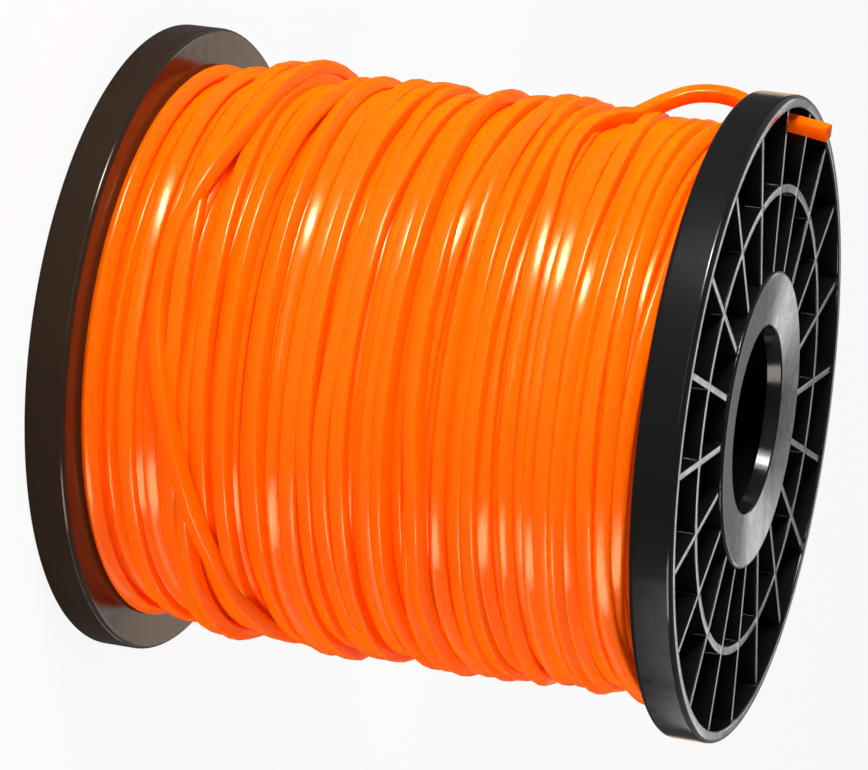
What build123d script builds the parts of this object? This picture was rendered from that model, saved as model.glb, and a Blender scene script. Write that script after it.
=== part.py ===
from build123d import *
from math import cos, pi, radians, sin, tan
import os

os.makedirs("parts", exist_ok=True)

# A spool of trimmer line standing on one flange: +Z is the spool's axis, the origin is the middle of
# the foot, and the line's free end comes out of the upper flange. All sizes are in millimetres.

# Flanges and hub
spool_length = 111.0
flange_radius = 55.0
rim_width = 7.3
rim_wall = 2.2
rim_chamfer = 0.8
plate_thickness = 2.0
hub_thickness = 3.4
bore_radius = 15.4

# Stiffening ribs and ring on the outer side of each flange, level with its rim and hub
rib_count = 20
rib_thickness = 1.2
ring_radius = 40.0
ring_wall = 1.5

# Hollow barrel, parted halfway along, with a spigot on the upper half
barrel_radius = 25.4
barrel_wall = 2.4
spigot_length = 6.0
spigot_clearance = 0.1

# Wound line: its radius at the flanges, how far it bulges between them, and the ridges of its turns,
# each laid round the barrel in as many flats as keep the rings light
line_diameter = 2.7
winding_edge_radius = 48.3
winding_bulge = 1.5
turn_pitch = 3.2
turn_depth = 1.2
turn_flats = 32

# Hole for the line's end, beside the rim, midway between two ribs
line_hole_radius = 2.1
line_hole_land = 0.2
line_hole_sector = 10

# Route of the line's free end: out of the winding, over to the flange and through the hole
tail_route = [
    (-46.4, -9.6, 82.0),
    (-49.9, -7.8, 86.4),
    (-52.1, -6.8, 92.2),
    (-52.2, -6.9, 98.5),
    (-50.1, -7.8, 104.5),
    (-49.2, -8.2, 110.3),
    (-48.4, -8.5, 116.0),
]
bend_share = 0.45

# Sizes that follow from those above
rim_inner_radius = flange_radius - rim_wall
rim_middle_radius = flange_radius - rim_wall / 2
pocket_depth = rim_width - plate_thickness
barrel_inner_radius = barrel_radius - barrel_wall
seam_radius = barrel_radius - barrel_wall / 2
half_length = spool_length / 2
rib_step = 360 / rib_count


def spool_half(with_spigot):
    """One moulded half, its outer face on z = 0 and its barrel pointing up."""
    if with_spigot:
        step_radius = seam_radius - spigot_clearance
        step_height = half_length + spigot_length
    else:
        step_radius = seam_radius
        step_height = half_length - spigot_length - spigot_clearance
    outline = Polyline(
        (bore_radius, 0, 0),
        (barrel_radius, 0, 0),
        (barrel_radius, 0, pocket_depth),
        (rim_inner_radius, 0, pocket_depth),
        (rim_inner_radius, 0, 0),
        (flange_radius, 0, 0),
        (flange_radius, 0, rim_width),
        (barrel_radius, 0, rim_width),
        (barrel_radius, 0, half_length),
        (step_radius, 0, half_length),
        (step_radius, 0, step_height),
        (barrel_inner_radius, 0, step_height),
        (barrel_inner_radius, 0, hub_thickness),
        (bore_radius, 0, hub_thickness),
        close=True,
    )
    section = make_face(outline)
    rim_corner = section.vertices().sort_by_distance((flange_radius, 0, 0))[0]
    section = chamfer(rim_corner, min(rim_chamfer, 0.45 * rim_wall, 0.45 * rim_width))
    half = revolve(section, Axis.Z)

    # Ribs run from inside the hub's wall to inside the rim and stand on the plate; the ring crosses them
    standing_height = pocket_depth + plate_thickness / 2
    rib_length = rim_middle_radius - seam_radius
    rib = Pos(seam_radius, 0, 0) * Box(
        rib_length,
        rib_thickness,
        standing_height,
        align=(Align.MIN, Align.CENTER, Align.MIN),
    )
    ribs = [Rot(0, 0, step * rib_step) * rib for step in range(rib_count)]
    ring = extrude(Circle(ring_radius) - Circle(ring_radius - ring_wall), standing_height)
    return half + [ring, *ribs]


def wound_line():
    """The turns on the barrel as one solid, with one ridge of flats for each turn."""
    start = rim_width
    width = spool_length - 2 * rim_width
    turn_count = max(1, round(width / turn_pitch))
    turn_width = width / turn_count

    def ring(step):
        """Corners round the winding at a valley (even step) or a crest (odd step) of its turns."""
        height = step * turn_width / 2
        radius = winding_edge_radius + winding_bulge * sin(pi * height / width)
        if step % 2 == 0:
            radius -= turn_depth
        corners = (2 * pi * flat / turn_flats for flat in range(turn_flats))
        return [(radius * cos(angle), radius * sin(angle), start + height) for angle in corners]

    rings = [ring(step) for step in range(2 * turn_count + 1)]
    faces = [make_face(Polyline(*rings[0], close=True)), make_face(Polyline(*rings[-1], close=True))]
    for below, above in zip(rings, rings[1:]):
        for flat in range(turn_flats):
            beside = (flat + 1) % turn_flats
            corners = (below[flat], below[beside], above[beside], above[flat])
            faces.append(make_face(Polyline(*corners, close=True)))
    turns = Solid(Shell([face.face() for face in faces]))
    return turns - Pos(0, 0, spool_length / 2) * Cylinder(barrel_radius, spool_length)


def line_end():
    """The free end as a tube of straight runs joined by arcs as large as the runs allow."""
    points = [Vector(*point) for point in tail_route]
    radii = []
    for before, corner, after in zip(points, points[1:], points[2:]):
        run_in = corner - before
        run_out = after - corner
        half_turn = radians(run_in.get_angle(run_out)) / 2
        radii.append(bend_share * min(run_in.length, run_out.length) / tan(half_turn))
    path = FilletPolyline(*points, radius=radii)
    section = Circle(line_diameter / 2)
    tube = sweep(Plane(path @ 0, z_dir=path % 0) * section, path=path)
    print("Bend radii of the line's end:", [round(radius, 1) for radius in radii])
    print("Its length:", round(path.length, 2))
    print("Its volume over section times length:", round(tube.volume / (section.area * path.length), 6))
    return tube


# Lower half, which the spool stands on
lower_half = spool_half(with_spigot=False)
export_step(lower_half, "parts/lower_half.step")

# Upper half, turned over, with the hole for the line's end
line_hole_angle = radians((line_hole_sector + 0.5) * rib_step)
line_hole_distance = rim_inner_radius - line_hole_land - line_hole_radius
line_hole = Pos(
    line_hole_distance * cos(line_hole_angle),
    line_hole_distance * sin(line_hole_angle),
    spool_length - rim_width + plate_thickness / 2,
) * Cylinder(line_hole_radius, 2 * plate_thickness)
upper_half = Pos(0, 0, spool_length) * Rot(180, 0, 0) * spool_half(with_spigot=True) - line_hole
export_step(upper_half, "parts/upper_half.step")

# The line: its free end, and the turns, which close round the place where it leaves them
line_tail = line_end()
export_step(line_tail, "parts/line_tail.step")
line_winding = wound_line() - line_tail
export_step(line_winding, "parts/line_winding.step")
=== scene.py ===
from math import asin, atan2, copysign, cos, hypot, pi, radians, sin, tau

import bpy
import numpy as np
from mathutils import Matrix, Vector


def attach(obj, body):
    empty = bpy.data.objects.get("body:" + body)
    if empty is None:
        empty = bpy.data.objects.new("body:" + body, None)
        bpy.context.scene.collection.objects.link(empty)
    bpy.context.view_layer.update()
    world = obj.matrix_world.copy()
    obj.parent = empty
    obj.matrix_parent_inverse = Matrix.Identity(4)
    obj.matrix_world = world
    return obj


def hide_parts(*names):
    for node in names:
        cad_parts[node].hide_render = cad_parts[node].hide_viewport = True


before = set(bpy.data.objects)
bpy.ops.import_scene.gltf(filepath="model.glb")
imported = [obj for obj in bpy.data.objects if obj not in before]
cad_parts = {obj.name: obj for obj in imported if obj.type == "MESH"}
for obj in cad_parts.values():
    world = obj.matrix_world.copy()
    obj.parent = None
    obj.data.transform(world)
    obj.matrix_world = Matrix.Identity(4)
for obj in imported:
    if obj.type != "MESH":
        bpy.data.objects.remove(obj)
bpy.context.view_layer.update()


# Lower half of the spool: one injection moulding of black plastic with a faint brown cast.
# Rim, ribs, ring, hub and half the barrel come out of one mould, and the winding hides the barrel.
# Sizes are in millimetres, as on a drawing, and MM turns them into metres.

MM = 0.001
spool_length = 111.0
flange_radius = 55.0
rim_width = 7.3
rim_wall = 2.2
plate_thickness = 2.0
hub_thickness = 3.4
bore_radius = 15.4
barrel_radius = 25.4
barrel_inner_radius = 23.0
seam_radius = 24.2
spigot_length = 6.0
spigot_clearance = 0.1
ring_radius = 40.0
ring_wall = 1.5
rib_count = 20
rib_thickness = 1.2
rib_setback = 0.45
rim_rounding = 0.9
lip_rounding = 0.3
hub_rounding = 0.6
hub_dish = 0.8
bore_flare = 0.6
edge_rounding = 0.2
steps_per_rib = 13


def arc_points(centre_r, centre_z, radius, start, end, count):
    """Points of a rounded corner in the half-section, as (r, z) in millimetres."""
    angles = [radians(start + (end - start) * step / count) for step in range(count + 1)]
    return [(centre_r + radius * cos(angle), centre_z + radius * sin(angle)) for angle in angles]


def half_section(with_spigot):
    """The half-section, from the flared bore over the dished hub and the rim, and back inside the barrel."""
    rim_inner_radius = flange_radius - rim_wall
    half_length = spool_length / 2
    if with_spigot:
        step_radius = seam_radius - spigot_clearance
        step_height = half_length + spigot_length
    else:
        step_radius = seam_radius
        step_height = half_length - spigot_length - spigot_clearance
    bore_edge_r = bore_radius + bore_flare + lip_rounding
    section = arc_points(bore_edge_r, hub_dish + lip_rounding, lip_rounding, 180, 270, 3)
    section += arc_points(barrel_radius - hub_rounding, hub_rounding, hub_rounding, 270, 318, 3)
    section += [
        (barrel_radius, rib_setback),
        (ring_radius - ring_wall, rib_setback),
        (ring_radius, rib_setback),
        (rim_inner_radius, rib_setback),
    ]
    section += arc_points(rim_inner_radius + lip_rounding, lip_rounding, lip_rounding, 180, 270, 3)
    section += arc_points(flange_radius - rim_rounding, rim_rounding, rim_rounding, 270, 360, 6)
    section += arc_points(flange_radius - rim_rounding, rim_width - rim_rounding, rim_rounding, 0, 90, 6)
    section += [
        (barrel_radius, rim_width),
        (barrel_radius, half_length),
        (step_radius, half_length),
        (step_radius, step_height),
        (barrel_inner_radius, step_height),
        (barrel_inner_radius, hub_thickness),
        (bore_radius, hub_thickness),
    ]
    return section


def moulded_half(name, with_spigot):
    """Turns the half-section, sinks the pockets between the ribs and rounds every edge."""
    section = half_section(with_spigot)
    points = [(r * MM, 0, z * MM) for r, z in section]
    edges = [(index, (index + 1) % len(points)) for index in range(len(points))]
    mesh = bpy.data.meshes.new(name)
    mesh.from_pydata(points, edges, [])
    half = bpy.data.objects.new(name, mesh)
    bpy.context.collection.objects.link(half)
    bpy.ops.object.select_all(action="DESELECT")
    bpy.context.view_layer.objects.active = half
    half.select_set(True)

    steps = rib_count * steps_per_rib
    bpy.ops.object.mode_set(mode="EDIT")
    bpy.ops.mesh.select_mode(type="VERT")
    bpy.ops.mesh.select_all(action="SELECT")
    bpy.ops.mesh.spin(steps=steps, angle=tau, center=(0, 0, 0), axis=(0, 0, 1))
    bpy.ops.mesh.select_all(action="SELECT")
    bpy.ops.mesh.remove_doubles(threshold=1e-6)
    bpy.ops.mesh.normals_make_consistent(inside=False)
    bpy.ops.mesh.select_mode(type="FACE")
    bpy.ops.mesh.select_all(action="DESELECT")
    bpy.ops.object.mode_set(mode="OBJECT")

    # A rib fills one step of the turn: the two lines of points beside it come to its straight sides
    rib_step = tau / rib_count
    turn_step = tau / steps
    for vertex in mesh.vertices:
        radius = hypot(vertex.co.x, vertex.co.y)
        angle = atan2(vertex.co.y, vertex.co.x) + turn_step / 2
        across = (angle + rib_step / 2) % rib_step - rib_step / 2
        if abs(abs(across) - turn_step / 2) < turn_step / 8 and barrel_radius * MM * 0.99 < radius:
            moved = angle - across + (1 if across > 0 else -1) * asin(rib_thickness / 2 * MM / radius)
        else:
            moved = angle
        vertex.co.x = radius * cos(moved)
        vertex.co.y = radius * sin(moved)

    # Pockets: the faces of the rib plane between the ribs go down to the plate
    for face in mesh.polygons:
        centre = face.center
        radius = hypot(centre.x, centre.y) / MM
        across = (atan2(centre.y, centre.x) + rib_step / 2) % rib_step - rib_step / 2
        level = abs(centre.z / MM - rib_setback) < 0.01 and abs(face.normal.z) > 0.9
        inner = barrel_radius < radius < ring_radius - ring_wall
        outer = ring_radius < radius < flange_radius - rim_wall
        face.select = level and (inner or outer) and abs(across) > turn_step / 2
    pocket_depth = rim_width - plate_thickness - rib_setback
    bpy.ops.object.mode_set(mode="EDIT")
    bpy.ops.mesh.extrude_region_move(TRANSFORM_OT_translate={"value": (0, 0, pocket_depth * MM)})
    bpy.ops.mesh.select_all(action="SELECT")
    bpy.ops.mesh.normals_make_consistent(inside=False)
    bpy.ops.object.mode_set(mode="OBJECT")

    edge_bevel = half.modifiers.new("edges", "BEVEL")
    edge_bevel.width = edge_rounding * MM
    edge_bevel.segments = 2
    edge_bevel.limit_method = "ANGLE"
    edge_bevel.angle_limit = radians(40)
    edge_bevel.use_clamp_overlap = True
    bpy.ops.object.modifier_apply(modifier="edges")
    return half


def even_shading(piece):
    """Smooth faces with normals weighted by area, so that flats stay flat between rounded edges."""
    bpy.ops.object.select_all(action="DESELECT")
    bpy.context.view_layer.objects.active = piece
    piece.select_set(True)
    bpy.ops.object.shade_smooth()
    weighted = piece.modifiers.new("normals", "WEIGHTED_NORMAL")
    weighted.keep_sharp = True
    bpy.ops.object.modifier_apply(modifier="normals")
    piece.select_set(False)


moulded_skin = bpy.data.node_groups.new("moulded_skin", "ShaderNodeTree")
for output in ("Flow", "Scuffs", "Sink"):
    moulded_skin.interface.new_socket(output, in_out="OUTPUT", socket_type="NodeSocketFloat")
skin_place = moulded_skin.nodes.new("ShaderNodeTexCoord")
skin_out = moulded_skin.nodes.new("NodeGroupOutput")
for output, scale, detail in (("Flow", 38, 4), ("Scuffs", 420, 5), ("Sink", 24, 1)):
    noise = moulded_skin.nodes.new("ShaderNodeTexNoise")
    noise.inputs["Scale"].default_value = scale
    noise.inputs["Detail"].default_value = detail
    moulded_skin.links.new(skin_place.outputs["Object"], noise.inputs["Vector"])
    moulded_skin.links.new(noise.outputs["Fac"], skin_out.inputs[output])


def moulded_plastic(name, colour, cast, glint, gloss, index):
    """Black moulded plastic: faint flow marks, fine scuffs and flats that have sunk a little."""
    material = bpy.data.materials.new(name)
    material.use_nodes = True
    nodes = material.node_tree.nodes
    links = material.node_tree.links
    shader = nodes["Principled BSDF"]
    shader.inputs["IOR"].default_value = index
    shader.inputs["Specular Tint"].default_value = (*glint, 1)
    skin = nodes.new("ShaderNodeGroup")
    skin.node_tree = moulded_skin

    tone = nodes.new("ShaderNodeMix")
    tone.data_type = "RGBA"
    tone.inputs["A"].default_value = (*colour, 1)
    tone.inputs["B"].default_value = (*cast, 1)
    links.new(skin.outputs["Flow"], tone.inputs["Factor"])
    links.new(tone.outputs["Result"], shader.inputs["Base Color"])

    sheen = nodes.new("ShaderNodeMapRange")
    sheen.inputs["From Min"].default_value = 0.3
    sheen.inputs["From Max"].default_value = 0.7
    sheen.inputs["To Min"].default_value = gloss[0]
    sheen.inputs["To Max"].default_value = gloss[1]
    links.new(skin.outputs["Scuffs"], sheen.inputs["Value"])
    links.new(sheen.outputs["Result"], shader.inputs["Roughness"])

    sunk = nodes.new("ShaderNodeBump")
    sunk.inputs["Strength"].default_value = 1
    sunk.inputs["Distance"].default_value = 0.0004
    links.new(skin.outputs["Sink"], sunk.inputs["Height"])
    scuffed = nodes.new("ShaderNodeBump")
    scuffed.inputs["Strength"].default_value = 0.06
    scuffed.inputs["Distance"].default_value = 0.0002
    links.new(skin.outputs["Scuffs"], scuffed.inputs["Height"])
    links.new(sunk.outputs["Normal"], scuffed.inputs["Normal"])
    links.new(scuffed.outputs["Normal"], shader.inputs["Normal"])
    return material


lower_plastic = moulded_plastic(
    "lower_plastic",
    colour=(0.015, 0.010, 0.0065),
    cast=(0.022, 0.014, 0.009),
    glint=(1.0, 0.8, 0.64),
    gloss=(0.1, 0.2),
    index=1.36,
)
lower_moulding = moulded_half("lower_moulding", with_spigot=False)
even_shading(lower_moulding)
lower_moulding.data.materials.append(lower_plastic)
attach(lower_moulding, "root")
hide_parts("lower_half")


# Upper half: the same moulding turned over and pushed onto the lower one, in a colder black.
# A small round hole is drilled through its plate beside the rim for the line's free end.

line_hole_radius = 2.1
line_hole_distance = 50.5
line_hole_angle = radians(189)

upper_plastic = moulded_plastic(
    "upper_plastic",
    colour=(0.004, 0.004, 0.0042),
    cast=(0.007, 0.007, 0.0072),
    glint=(1.0, 1.0, 1.0),
    gloss=(0.11, 0.19),
    index=1.36,
)
upper_moulding = moulded_half("upper_moulding", with_spigot=True)
upper_moulding.data.transform(Matrix.Translation((0, 0, spool_length * MM)) @ Matrix.Rotation(pi, 4, "X"))
bpy.ops.object.select_all(action="DESELECT")
bpy.ops.mesh.primitive_cylinder_add(
    vertices=48,
    radius=line_hole_radius * MM,
    depth=2 * plate_thickness * MM,
    location=(
        line_hole_distance * MM * cos(line_hole_angle),
        line_hole_distance * MM * sin(line_hole_angle),
        (spool_length - rim_width + plate_thickness / 2) * MM,
    ),
)
line_hole = bpy.context.active_object
bpy.ops.object.select_all(action="DESELECT")
bpy.context.view_layer.objects.active = upper_moulding
upper_moulding.select_set(True)
hole_cut = upper_moulding.modifiers.new("hole", "BOOLEAN")
hole_cut.operation = "DIFFERENCE"
hole_cut.solver = "EXACT"
hole_cut.object = line_hole
bpy.ops.object.modifier_apply(modifier="hole")
bpy.data.objects.remove(line_hole)
even_shading(upper_moulding)
upper_moulding.data.materials.clear()
upper_moulding.data.materials.append(upper_plastic)
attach(upper_moulding, "root")
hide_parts("upper_half")


# Wound line: nylon line of rounded square section, drawn over the barrel by a winding machine.
# Each turn settles into the turns below it, so the layers are laid here one turn after another.

line_thickness = 2.62
line_squareness = 5
line_sides = 20
pressed_share = 0.08
contact_radius = 1.1
turn_steps = 64
height_step = 0.1
winding_start = rim_width
winding_end = spool_length - rim_width
winding_width = winding_end - winding_start
winding_crest = 48.3
winding_bulge = 2.2
crest_drop = 1.2
crest_limit = 50.3
layer_rise = 1.9
turn_count = 30
turn_width = winding_width / turn_count
last_turn = 22
tail_start = Vector((-46.3, -14.4, 84.2))
step_over_share = 0.2
leaving_steps = 6
sway_waves = ((0.6, 18), (1.0, 38), (0.4, 200))
climb_cost = 0.3
slip_rate = 0.25
tightening_rounds = 60
softening_rounds = 3
stray_turn = 8
stray_angle = radians(263)
stray_reach = 16.6
stray_rise = 1.3
stray_route = [(-84, 0), (-50, 0.37), (-20, 0.76), (0, 1), (23, 0.68), (45, 0.5), (130, 0.45), (200, 0)]
winding_seed = 11

rng = np.random.default_rng(winding_seed)


def wander(count, spacing):
    """Smooth seeded noise: random values at every so many steps, joined by cosines."""
    knots = rng.normal(size=count // spacing + 3)
    at = np.arange(count) / spacing
    knot = at.astype(int)
    blend = 0.5 - 0.5 * np.cos(pi * (at - knot))
    return knots[knot] * (1 - blend) + knots[knot + 1] * blend


# Places of the turns from the free end backwards: the last layer, which ends where the free end
# leaves, the full layer below it, and the last turns of the layer below that, which lift the full
# layer where the last one doesn't reach. The line steps from turn to turn behind the spool.
low = winding_start + contact_radius
high = winding_end - contact_radius
turn_places = [winding_start + turn_width * (turn + 0.5) for turn in range(last_turn, -1, -1)]
turn_places += [winding_start + turn_width * turn for turn in range(1, turn_count)]
turn_places += [winding_start + turn_width * (turn + 0.5) for turn in range(turn_count - 1, last_turn, -1)]
count = len(turn_places) * turn_steps
steps_left = count - 1 - np.arange(count)
end_angle = atan2(tail_start.y, tail_start.x)
angles = end_angle + steps_left * tau / turn_steps
turn_number = steps_left / turn_steps + step_over_share
crossing = np.clip((turn_number % 1 - (1 - step_over_share)) / step_over_share, 0, 1)
lane = np.floor(turn_number) + crossing**2 * (3 - 2 * crossing)
traverse = np.interp(lane, np.arange(len(turn_places)), turn_places)
sway = sum(reach * wander(count, spacing) for reach, spacing in sway_waves)
sway *= np.clip(steps_left / turn_steps, 0, 1)

# One turn of the last layer strays over its neighbours on the near side: its route gives, for each
# angle from the middle of the stretch, the share of its reach.
stray_middle = (last_turn - stray_turn) * turn_steps
stray_middle += round((stray_angle - end_angle) % tau / tau * turn_steps)
offset = (stray_middle - steps_left) * 360 / turn_steps
stray = np.interp(offset, *np.transpose(stray_route))
stray = np.convolve(stray, np.ones(5) / 5, mode="same")
target = np.clip(traverse + sway * (1 - stray) - stray_reach * stray, low, high)

# The line is laid turn by turn on a map of the surface's radius over angle and height. Each turn slips
# to the lowest seat near its place, is pulled tight over what it rests on, and raises the map. The map
# starts as a smooth bed two layers below the crest, which bulges between the flanges.
bins = int(round(winding_width / height_step)) + 1
level = winding_start + height_step * np.arange(bins)
crest = winding_crest + winding_bulge * np.sin(pi * (level - winding_start) / winding_width) ** 0.5
base = crest - crest_drop - 2 * layer_rise
surface = np.tile(base, (turn_steps, 1))
half_window = int(contact_radius / height_step)
across = np.arange(-half_window, half_window + 1)
arch = np.sqrt(contact_radius**2 - (across * height_step) ** 2)
shifts = np.arange(-7, 8) * 2
radii = np.zeros(count)
placed = np.zeros(count)
slip = 0.0


def beside(values, before):
    """Each value's neighbours along the line."""
    return np.concatenate([[before], values[:-1]]), np.concatenate([values[1:], values[-1:]])


for first in range(0, count, turn_steps):
    turn = np.arange(first, min(first + turn_steps, count))
    column = steps_left[turn] % turn_steps
    trial = np.round((target[turn, None] - winding_start) / height_step + shifts)
    trial = np.clip(trial, half_window, bins - 1 - half_window).astype(int)
    rest = (surface[column[:, None, None], trial[:, :, None] + across] + arch).max(axis=2)
    best = shifts[(rest + climb_cost * (shifts * height_step) ** 2).argmin(axis=1)] * height_step
    for step, wish in zip(turn, best):
        slip += slip_rate * (wish * (1 - stray[step]) - slip)
        placed[step] = min(max(target[step] + slip, low), high)
    seat = np.round((placed[turn] - winding_start) / height_step)
    seat = np.clip(seat, half_window, bins - 1 - half_window).astype(int)
    rest = (surface[column[:, None], seat[:, None] + across] + arch).max(axis=1)
    before = radii[first - 1] if first else rest[0]
    tight = rest
    for _ in range(tightening_rounds):
        left, right = beside(tight, before)
        tight = np.maximum(rest, 2 * cos(tau / turn_steps) * left * right / (left + right))
    for _ in range(softening_rounds):
        left, right = beside(tight, before)
        tight = 0.25 * left + 0.5 * tight + 0.25 * right
    radii[turn] = np.minimum(tight, crest_limit + stray_rise * np.minimum(1, 3 * stray[turn]))
    for index, step in enumerate(turn):
        under = seat[index] + across
        surface[column[index], under] = np.maximum(surface[column[index], under], radii[step] + arch)

# The last stretch climbs off the turns and runs into the free end.
leaving = np.clip(1 - steps_left / leaving_steps, 0, 1) ** 3
radii += (hypot(tail_start.x, tail_start.y) - radii[-1]) * leaving
placed += (tail_start.z - placed[-1]) * leaving

# The section of the line, between a square and a circle, is swept along its turns.
line_section = bpy.data.curves.new("line_section", "CURVE")
line_section.dimensions = "2D"
section_points = []
for side in range(line_sides):
    round_point = (cos(tau * side / line_sides), sin(tau * side / line_sides))
    squared = (copysign(abs(part) ** (2 / line_squareness), part) for part in round_point)
    x, y = (line_thickness / 2 * part for part in squared)
    section_points.append((x * MM, y * MM, 0, 1))
outline = line_section.splines.new("POLY")
outline.points.add(len(section_points) - 1)
for point, section_point in zip(outline.points, section_points):
    point.co = section_point
outline.use_cyclic_u = True
section_object = bpy.data.objects.new("line_section", line_section)
bpy.context.collection.objects.link(section_object)

# The line twists as it runs on, stays longer on its flats than on its edges, and is pressed a
# little fuller between its neighbours.
tilt = np.cumsum(wander(count, 90)) * 0.02 + 0.3 * wander(count, 50)
tilt -= 0.2 * np.sin(4 * tilt)
tilt -= tilt[-1]
fullness = 1 + pressed_share * np.clip(steps_left / turn_steps, 0, 1)
turns_curve = bpy.data.curves.new("wound_line", "CURVE")
turns_curve.dimensions = "3D"
turns_curve.twist_mode = "Z_UP"
turns_curve.bevel_mode = "OBJECT"
turns_curve.bevel_object = section_object
turns_curve.use_fill_caps = True
run = turns_curve.splines.new("POLY")
run.points.add(count - 1)
for step, point in enumerate(run.points):
    point.co = (
        radii[step] * MM * cos(angles[step]),
        radii[step] * MM * sin(angles[step]),
        placed[step] * MM,
        1,
    )
    point.tilt = tilt[step]
    point.radius = fullness[step]
run.use_smooth = True
wound_line = bpy.data.objects.new("wound_line", turns_curve)
bpy.context.collection.objects.link(wound_line)
bpy.ops.object.select_all(action="DESELECT")
bpy.context.view_layer.objects.active = wound_line
wound_line.select_set(True)
bpy.ops.object.convert(target="MESH")
wound_line = bpy.context.active_object
bpy.ops.object.shade_smooth()


def measure_along(piece, length):
    """Makes the piece's UV map run in millimetres along the line, and once round its section."""
    layer = piece.data.uv_layers[0].data
    along = np.zeros(2 * len(layer))
    layer.foreach_get("uv", along)
    along[1::2] *= length
    layer.foreach_set("uv", along)


wound_length = tau * float(np.sum(radii)) / turn_steps
measure_along(wound_line, wound_length)

# The turns further in are hidden, so one plain drum from the barrel outwards stands for them
drum_radius = 43.4
drum_inner_radius = barrel_radius + 0.1
drum_points = [
    (drum_inner_radius, winding_start),
    (drum_radius, winding_start),
    (drum_radius, winding_end),
    (drum_inner_radius, winding_end),
]
drum_mesh = bpy.data.meshes.new("drum")
drum_mesh.from_pydata([(r * MM, 0, z * MM) for r, z in drum_points], [(0, 1), (1, 2), (2, 3), (3, 0)], [])
drum = bpy.data.objects.new("drum", drum_mesh)
bpy.context.collection.objects.link(drum)
bpy.ops.object.select_all(action="DESELECT")
bpy.context.view_layer.objects.active = drum
drum.select_set(True)
bpy.ops.object.mode_set(mode="EDIT")
bpy.ops.mesh.select_all(action="SELECT")
bpy.ops.mesh.spin(steps=96, angle=tau, center=(0, 0, 0), axis=(0, 0, 1))
bpy.ops.mesh.select_all(action="SELECT")
bpy.ops.mesh.remove_doubles(threshold=1e-6)
bpy.ops.mesh.normals_make_consistent(inside=False)
bpy.ops.object.mode_set(mode="OBJECT")
bpy.ops.object.shade_smooth_by_angle(angle=radians(40))
wound_line.select_set(True)
bpy.context.view_layer.objects.active = wound_line
bpy.ops.object.join()

# Nylon: dyed through and a little translucent, with fine marks of the die along the line
line_nylon = bpy.data.materials.new("line_nylon")
line_nylon.use_nodes = True
nylon_nodes = line_nylon.node_tree.nodes
nylon_links = line_nylon.node_tree.links
nylon = nylon_nodes["Principled BSDF"]
nylon.inputs["IOR"].default_value = 1.53
nylon.inputs["Subsurface Weight"].default_value = 0.6
nylon.inputs["Subsurface Radius"].default_value = (1.0, 0.22, 0.02)
nylon.inputs["Subsurface Scale"].default_value = 0.0017
nylon.inputs["Specular Tint"].default_value = (1.0, 0.7, 0.38, 1)
# A faint orange emission is painted glow: it lifts the line's shaded sides and the gaps between turns,
# though the nylon is no lamp.
nylon.inputs["Emission Color"].default_value = (1.0, 0.11, 0.0, 1)
nylon.inputs["Emission Strength"].default_value = 0.06

# Points round the section and along the line, so that its marks run with it without a seam
line_map = nylon_nodes.new("ShaderNodeUVMap")
line_map.uv_map = "UVMap"
round_and_along = nylon_nodes.new("ShaderNodeSeparateXYZ")
nylon_links.new(line_map.outputs["UV"], round_and_along.inputs["Vector"])
around = nylon_nodes.new("ShaderNodeMath")
around.operation = "MULTIPLY"
around.inputs[1].default_value = tau
nylon_links.new(round_and_along.outputs["X"], around.inputs[0])
ring_point = nylon_nodes.new("ShaderNodeCombineXYZ")
for operation, axis in (("COSINE", "X"), ("SINE", "Y")):
    ring_part = nylon_nodes.new("ShaderNodeMath")
    ring_part.operation = operation
    nylon_links.new(around.outputs["Value"], ring_part.inputs[0])
    nylon_links.new(ring_part.outputs["Value"], ring_point.inputs[axis])
nylon_links.new(round_and_along.outputs["Y"], ring_point.inputs["Z"])


def line_noise(round_scale, along_scale, detail):
    """Noise that is drawn out along the line."""
    stretched = nylon_nodes.new("ShaderNodeVectorMath")
    stretched.operation = "MULTIPLY"
    stretched.inputs[1].default_value = (round_scale, round_scale, along_scale)
    nylon_links.new(ring_point.outputs["Vector"], stretched.inputs[0])
    noise = nylon_nodes.new("ShaderNodeTexNoise")
    noise.inputs["Scale"].default_value = 1
    noise.inputs["Detail"].default_value = detail
    nylon_links.new(stretched.outputs["Vector"], noise.inputs["Vector"])
    return noise


dye = line_noise(0.6, 0.03, 2)
tint = nylon_nodes.new("ShaderNodeMix")
tint.data_type = "RGBA"
tint.inputs["A"].default_value = (1.0, 0.085, 0.0, 1)
tint.inputs["B"].default_value = (1.0, 0.158, 0.0, 1)
nylon_links.new(dye.outputs["Fac"], tint.inputs["Factor"])
nylon_links.new(tint.outputs["Result"], nylon.inputs["Base Color"])

# The gloss is weaker at a glancing angle, where light goes into the line instead
facing = nylon_nodes.new("ShaderNodeLayerWeight")
glance = nylon_nodes.new("ShaderNodeMapRange")
glance.inputs["From Min"].default_value = 0.28
glance.inputs["From Max"].default_value = 0.6
glance.inputs["To Min"].default_value = 0.5
glance.inputs["To Max"].default_value = 0.01
nylon_links.new(facing.outputs["Facing"], glance.inputs["Value"])
nylon_links.new(glance.outputs["Result"], nylon.inputs["Specular IOR Level"])

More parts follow.
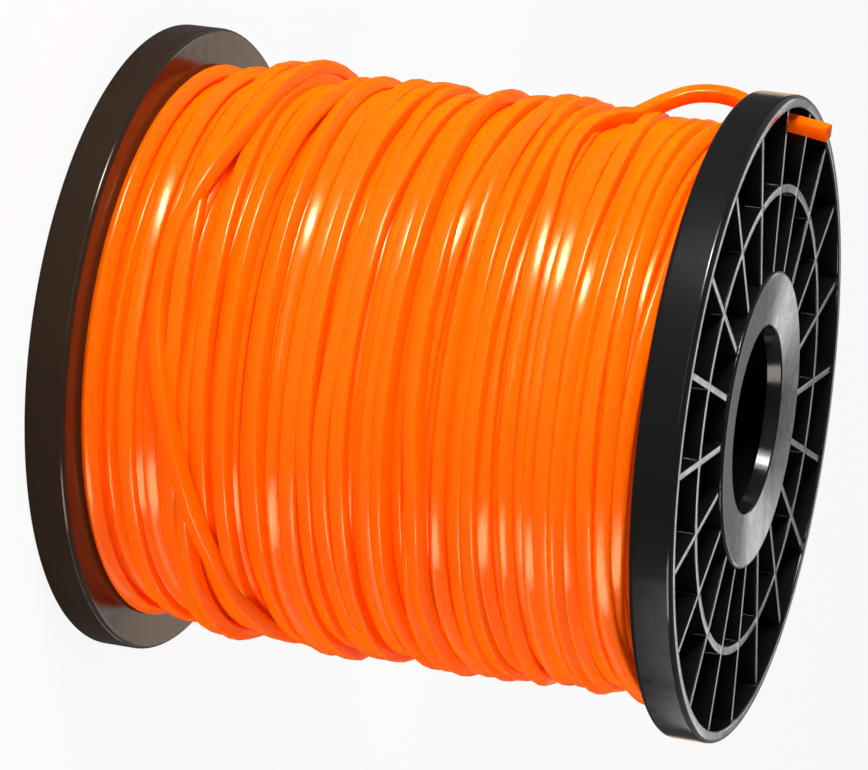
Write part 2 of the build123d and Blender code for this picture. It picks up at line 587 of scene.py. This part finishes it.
die_marks = line_noise(5, 0.02, 3)
polish = nylon_nodes.new("ShaderNodeMapRange")
polish.inputs["From Min"].default_value = 0.3
polish.inputs["From Max"].default_value = 0.7
polish.inputs["To Min"].default_value = 0.1
polish.inputs["To Max"].default_value = 0.2
nylon_links.new(die_marks.outputs["Fac"], polish.inputs["Value"])
nylon_links.new(polish.outputs["Result"], nylon.inputs["Roughness"])
drawn = nylon_nodes.new("ShaderNodeBump")
drawn.inputs["Strength"].default_value = 0.1
drawn.inputs["Distance"].default_value = 0.0001
nylon_links.new(die_marks.outputs["Fac"], drawn.inputs["Height"])
nylon_links.new(drawn.outputs["Normal"], nylon.inputs["Normal"])
wound_line.data.materials.clear()
wound_line.data.materials.append(line_nylon)
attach(wound_line, "root")
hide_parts("line_winding")


# Free end of the line: the same nylon, which springs off the last turn and arches over to the
# upper flange. It is pushed out through the hole in the plate, which holds it, and cut off square.

tail_points = [
    (-46.3, -14.4, 84.2),
    (-48.2, -11.5, 85.6),
    (-50.6, -9.2, 88.0),
    (-52.6, -7.6, 91.4),
    (-53.3, -6.7, 95.4),
    (-52.9, -6.6, 99.2),
    (-51.2, -7.3, 102.7),
    (-49.9, -7.9, 106.8),
    (-49.2, -8.2, 111.5),
    (-48.4, -8.6, 116.1),
]
tail_curve = bpy.data.curves.new("tail_route", "CURVE")
tail_curve.dimensions = "3D"
tail_curve.resolution_u = 12
tail_run = tail_curve.splines.new("NURBS")
tail_run.points.add(len(tail_points) - 1)
for point, (x, y, z) in zip(tail_run.points, tail_points):
    point.co = (x * MM, y * MM, z * MM, 1)
tail_run.order_u = 3
tail_run.use_endpoint_u = True
free_end = bpy.data.objects.new("free_end", tail_curve)
bpy.context.collection.objects.link(free_end)
bare_line = bpy.data.meshes.new_from_object(free_end)
tail_path = [tuple(vertex.co) for vertex in bare_line.vertices]
tail_length = sum((Vector(b) - Vector(a)).length for a, b in zip(tail_path, tail_path[1:]))
tail_curve.twist_mode = "MINIMUM"
tail_curve.bevel_mode = "OBJECT"
tail_curve.bevel_object = section_object
tail_curve.use_fill_caps = True
bpy.ops.object.select_all(action="DESELECT")
bpy.context.view_layer.objects.active = free_end
free_end.select_set(True)
bpy.ops.object.convert(target="MESH")
free_end = bpy.context.active_object
measure_along(free_end, tail_length / MM)
bpy.ops.object.shade_smooth_by_angle(angle=radians(50))
bpy.data.objects.remove(section_object)
free_end.data.materials.clear()
free_end.data.materials.append(line_nylon)
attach(free_end, "root")
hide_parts("line_tail")


# Studio: a plain white floor and backdrop, two soft boxes, one of them with a hot middle, and small
# cards that the flanges mirror. The camera sees floor and backdrop white, and the floor keeps a
# soft shadow, while the black mouldings mirror both of them darker.

bpy.ops.object.select_all(action="DESELECT")
bpy.ops.mesh.primitive_plane_add(size=12, location=(0, 0, 0))
floor = bpy.context.active_object
floor.name = "floor"
floor_paint = bpy.data.materials.new("floor_paint")
floor_paint.use_nodes = True
floor_nodes = floor_paint.node_tree.nodes
floor_links = floor_paint.node_tree.links
paint = floor_nodes["Principled BSDF"]
paint.inputs["Roughness"].default_value = 0.8
floor_rays = floor_nodes.new("ShaderNodeLightPath")
floor_tone = floor_nodes.new("ShaderNodeMix")
floor_tone.data_type = "RGBA"
floor_tone.inputs["A"].default_value = (0.9, 0.9, 0.9, 1)
floor_tone.inputs["B"].default_value = (0.12, 0.12, 0.12, 1)
floor_links.new(floor_rays.outputs["Is Glossy Ray"], floor_tone.inputs["Factor"])
floor_links.new(floor_tone.outputs["Result"], paint.inputs["Base Color"])
glow = floor_nodes.new("ShaderNodeEmission")
glow_share = floor_nodes.new("ShaderNodeMath")
glow_share.operation = "MULTIPLY"
glow_share.inputs[1].default_value = 0.9
floor_links.new(floor_rays.outputs["Is Camera Ray"], glow_share.inputs[0])
floor_mix = floor_nodes.new("ShaderNodeMixShader")
floor_links.new(glow_share.outputs[0], floor_mix.inputs["Fac"])
floor_links.new(paint.outputs["BSDF"], floor_mix.inputs[1])
floor_links.new(glow.outputs["Emission"], floor_mix.inputs[2])
floor_links.new(floor_mix.outputs["Shader"], floor_nodes["Material Output"].inputs["Surface"])
floor.data.materials.append(floor_paint)

world = bpy.data.worlds.new("studio")
bpy.context.scene.world = world
world.use_nodes = True
world_nodes = world.node_tree.nodes
world_links = world.node_tree.links
surround = world_nodes["Background"]
surround.inputs["Color"].default_value = (1, 1, 1, 1)
direction = world_nodes.new("ShaderNodeTexCoord")
direction_parts = world_nodes.new("ShaderNodeSeparateXYZ")
world_links.new(direction.outputs["Generated"], direction_parts.inputs["Vector"])
behind = world_nodes.new("ShaderNodeMapRange")
behind.interpolation_type = "SMOOTHSTEP"
behind.inputs["From Min"].default_value = -0.5
behind.inputs["From Max"].default_value = 0.6
behind.inputs["To Min"].default_value = 0.15
behind.inputs["To Max"].default_value = 0.35
world_links.new(direction_parts.outputs["Y"], behind.inputs["Value"])
world_links.new(behind.outputs["Result"], surround.inputs["Strength"])
world_rays = world_nodes.new("ShaderNodeLightPath")
backdrop = world_nodes.new("ShaderNodeBackground")
backdrop.inputs["Color"].default_value = (1, 1, 1, 1)
world_mix = world_nodes.new("ShaderNodeMixShader")
world_links.new(world_rays.outputs["Is Camera Ray"], world_mix.inputs["Fac"])
world_links.new(surround.outputs["Background"], world_mix.inputs[1])
world_links.new(backdrop.outputs["Background"], world_mix.inputs[2])
world_links.new(world_mix.outputs["Shader"], world_nodes["World Output"].inputs["Surface"])

lamp_aim = Vector((0, 0, 0.055))


def soft_box(name, place, size, watts, colour=(1, 1, 1)):
    """A rectangular soft box or card that faces the middle of the spool."""
    bpy.ops.object.select_all(action="DESELECT")
    bpy.ops.object.light_add(type="AREA", location=place)
    box = bpy.context.active_object
    box.name = name
    box.data.shape = "RECTANGLE"
    box.data.size = size[0]
    box.data.size_y = size[1]
    box.data.energy = watts
    box.data.color = colour
    box.rotation_euler = (lamp_aim - Vector(place)).to_track_quat("-Z", "Y").to_euler()


soft_box("key_box", (-0.62, -0.62, 0.22), (0.38, 0.36), 3.8)
soft_box("key_lamp", (-0.61, -0.61, 0.22), (0.16, 0.24), 7.1)
soft_box("fill_box", (0.8, -0.3, 0.25), (0.34, 0.4), 4.2, (1.0, 0.9, 0.8))
soft_box("back_card", (-0.05, 0.45, 0.247), (0.4, 0.05), 0.16)
soft_box("low_card", (-0.03, 0.2, 0.07), (0.25, 0.04), 0.03, (1.0, 0.7, 0.45))
soft_box("front_card", (-0.1, -0.8, 0.22), (0.5, 0.08), 0.45)
soft_box("side_card", (0.47, -0.02, 0.04), (0.4, 0.08), 0.18)
soft_box("corner_card", (0.38, 0.3, 0.035), (0.28, 0.07), 0.08)

bpy.context.scene.view_settings.view_transform = "Standard"


# Camera: a long lens above and in front, turned on its side as the spool lies in the picture.
# Its place and its turn were fitted to the ellipses of the flanges.

picture_width = 868
focal_pixels = 3971
camera_place = Vector((68.61, -650.44, 258.44)) * MM
camera_right = Vector((-0.1698, 0.2812, 0.9445)).normalized()
camera_ahead = Vector((-0.0974, 0.949, -0.300)).normalized()
camera_up = camera_right.cross(camera_ahead).normalized()
camera_right = camera_ahead.cross(camera_up).normalized()
camera_data = bpy.data.cameras.new("camera")
camera_data.sensor_width = 36
camera_data.lens = focal_pixels * camera_data.sensor_width / picture_width
camera = bpy.data.objects.new("camera", camera_data)
bpy.context.collection.objects.link(camera)
camera_turn = Matrix((camera_right, camera_up, -camera_ahead)).transposed().to_4x4()
camera.matrix_world = Matrix.Translation(camera_place) @ camera_turn
bpy.context.scene.camera = camera

bpy.context.view_layer.update()
